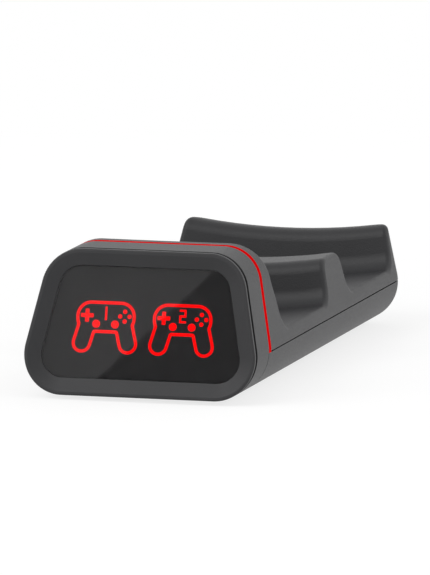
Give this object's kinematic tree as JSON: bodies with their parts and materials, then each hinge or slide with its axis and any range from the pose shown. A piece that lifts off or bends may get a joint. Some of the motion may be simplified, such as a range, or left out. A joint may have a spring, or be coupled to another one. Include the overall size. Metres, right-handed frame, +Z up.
{
  "type": "controller charging dock",
  "caption": "Low black charging dock for game controllers: leaning front head with lit red icons behind smoked glass, a red light arch, and saddle bays with sprung contacts.",
  "frame": {"origin": "middle of the box round the dock, on the plane that its feet stand on", "axes": "+Z up, -Y out of the front with the display, +X to the right seen from the front"},
  "size_m": [0.0564, 0.1378, 0.0348],
  "materials": {
    "housing_plastic": "fine moulded texture",
    "bezel_plastic": "satin",
    "smoked_window": "polished",
    "mask_print": "matt print",
    "icon_red": "clear, lit from behind",
    "strip_red": "clear, lit from inside",
    "circuit_board": "solder mask",
    "led": "clear resin",
    "component_black": "moulded",
    "connector_ivory": "moulded",
    "ribbon_film": "film",
    "screw_steel": "zinc plated",
    "socket_steel": "drawn",
    "socket_plastic": "moulded",
    "block_plastic": "moulded",
    "contact_gold": "gold plated",
    "spring_steel": "drawn wire",
    "foot_rubber": "matt"
  },
  "bodies": {
    "dock": {"lower_housing": "housing_plastic", "upper_housing": "housing_plastic", "head_shell": "housing_plastic", "front_bezel": "bezel_plastic", "display_window": "smoked_window", "display_mask": "mask_print", "icon_light_guide_1": "icon_red", "icon_light_guide_2": "icon_red", "light_strip": "strip_red", "display_board": "circuit_board", "main_board": "circuit_board", "display_leds": "led", "strip_leds": "led", "board_components": "component_black", "ribbon_connectors": "connector_ivory", "display_ribbon": "ribbon_film", "display_board_screws": "screw_steel", "main_board_screws": "screw_steel", "housing_screws": "screw_steel", "usb_socket_shell": "socket_steel", "usb_socket_tongue": "socket_plastic", "front_contact_block": "block_plastic", "rear_contact_block": "block_plastic", "front_contact_barrels": "contact_gold", "rear_contact_barrels": "contact_gold", "front_contact_spring_left": "spring_steel", "front_contact_spring_right": "spring_steel", "rear_contact_spring_left": "spring_steel", "rear_contact_spring_right": "spring_steel", "front_left_foot": "foot_rubber", "front_right_foot": "foot_rubber", "rear_left_foot": "foot_rubber", "rear_right_foot": "foot_rubber"},
    "front_left_pin": {"front_contact_pin_left": "contact_gold"},
    "front_right_pin": {"front_contact_pin_right": "contact_gold"},
    "rear_left_pin": {"rear_contact_pin_left": "contact_gold"},
    "rear_right_pin": {"rear_contact_pin_right": "contact_gold"}
  },
  "joints": [
    {"name": "front_left_pin_press", "type": "slide", "parent": "dock", "child": "front_left_pin", "axis": [0, 0, -1], "range_m": [0, 0.0012], "stiffness_N_per_m": 300, "springref_m": -0.001, "deforming": ["front_contact_spring_left"]},
    {"name": "front_right_pin_press", "type": "slide", "parent": "dock", "child": "front_right_pin", "axis": [0, 0, -1], "range_m": [0, 0.0012], "stiffness_N_per_m": 300, "springref_m": -0.001, "deforming": ["front_contact_spring_right"]},
    {"name": "rear_left_pin_press", "type": "slide", "parent": "dock", "child": "rear_left_pin", "axis": [0, 0, -1], "range_m": [0, 0.0012], "stiffness_N_per_m": 300, "springref_m": -0.001, "deforming": ["rear_contact_spring_left"]},
    {"name": "rear_right_pin_press", "type": "slide", "parent": "dock", "child": "rear_right_pin", "axis": [0, 0, -1], "range_m": [0, 0.0012], "stiffness_N_per_m": 300, "springref_m": -0.001, "deforming": ["rear_contact_spring_right"]}
  ]
}
